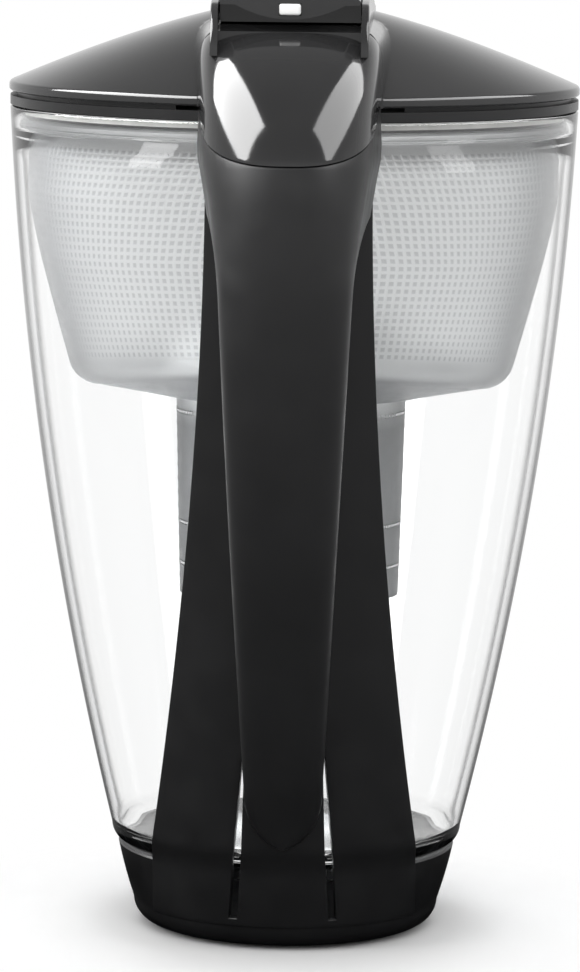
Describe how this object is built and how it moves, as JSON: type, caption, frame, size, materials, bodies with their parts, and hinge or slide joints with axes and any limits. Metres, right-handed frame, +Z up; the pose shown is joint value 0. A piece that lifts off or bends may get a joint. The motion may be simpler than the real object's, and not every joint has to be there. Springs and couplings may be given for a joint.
{
  "type": "water filter pitcher with flip lid",
  "caption": "Round clear water pitcher on a dark foot with a rear handle, a frosted funnel holding an oval filter cartridge, and a domed lid with a hinged fill flap.",
  "frame": {"origin": "on the jug's axis at the underside of the anti-slip pad", "axes": "+Z up along the jug's axis, handle toward -Y, spout toward +Y"},
  "size_m": [0.1626, 0.2288, 0.272],
  "materials": {
    "clear_plastic": "clear gloss",
    "frosted_plastic": "frosted",
    "dark_plastic": "gloss",
    "dark_lid": "gloss",
    "soft_pad": "matte",
    "screw_steel": "satin",
    "cartridge_plastic": "satin",
    "filter_media": "granular",
    "mesh_fabric": "woven",
    "seal_rubber": "matte",
    "button_plastic": "gloss",
    "circuit_board": "satin",
    "cell_steel": "satin"
  },
  "bodies": {
    "pitcher": {"jug": "clear_plastic", "base_skirt": "dark_plastic", "foot_pad": "soft_pad", "spine_panel": "dark_plastic", "handle_grip": "dark_plastic", "handle_liner": "dark_plastic", "handle_screws": "screw_steel"},
    "funnel": {"hopper": "frosted_plastic"},
    "cartridge": {"cartridge_shell": "cartridge_plastic", "cartridge_cap": "cartridge_plastic", "cartridge_media": "filter_media", "cartridge_mesh_top": "mesh_fabric", "cartridge_mesh_bottom": "mesh_fabric", "cartridge_seal": "seal_rubber"},
    "lid": {"lid_shell": "dark_lid", "lid_liner": "dark_lid", "lid_gasket": "seal_rubber", "flap_pin": "screw_steel"},
    "flap": {"flap_shell": "dark_lid", "flap_liner": "dark_lid", "indicator_board": "circuit_board", "indicator_switch": "screw_steel", "coin_cell": "cell_steel", "battery_cover": "dark_lid"},
    "button": {"indicator_button": "button_plastic"}
  },
  "joints": [
    {"name": "funnel_lift", "type": "slide", "parent": "pitcher", "child": "funnel", "axis": [0, 0, 1], "range_m": [0, 0.15]},
    {"name": "cartridge_lift", "type": "slide", "parent": "funnel", "child": "cartridge", "axis": [0, 0, 1], "range_m": [0, 0.04]},
    {"name": "lid_lift", "type": "slide", "parent": "funnel", "child": "lid", "axis": [0, 0, 1], "range_m": [0, 0.05]},
    {"name": "flap_hinge", "type": "hinge", "parent": "lid", "child": "flap", "pos_m": [0, 0.008, 0.263], "axis": [-1, 0, 0], "range_deg": [0, 100]},
    {"name": "button_press", "type": "slide", "parent": "flap", "child": "button", "axis": [0, 1, 0], "range_m": [0, 0.0012], "stiffness_N_per_m": 400}
  ]
}
